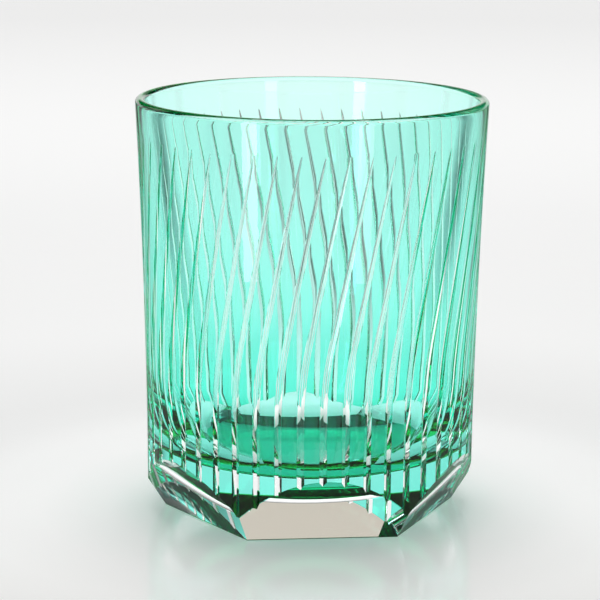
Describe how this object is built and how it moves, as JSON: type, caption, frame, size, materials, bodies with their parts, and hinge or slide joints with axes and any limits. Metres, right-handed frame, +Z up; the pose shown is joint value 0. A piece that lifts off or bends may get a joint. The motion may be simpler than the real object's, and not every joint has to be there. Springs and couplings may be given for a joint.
{
  "type": "whisky tumbler",
  "caption": "Cased cut-glass whisky tumbler: thick clear crystal cup under a thin emerald overlay, swept V-cuts round the wall and a flat-faceted hexagonal foot.",
  "frame": {"origin": "centre of the flat base, on the surface that the tumbler stands on", "axes": "+Z up along the axis of the cup, towards the rim; -Y out of the middle of one foot facet"},
  "size_m": [0.0798, 0.0798, 0.095],
  "materials": {
    "clear_crystal": "fire-polished and cut-polished, water-clear",
    "emerald_glass": "polished transparent emerald overlay"
  },
  "bodies": {
    "root": {"crystal_cup": "clear_crystal", "emerald_overlay": "emerald_glass"}
  },
  "joints": []
}
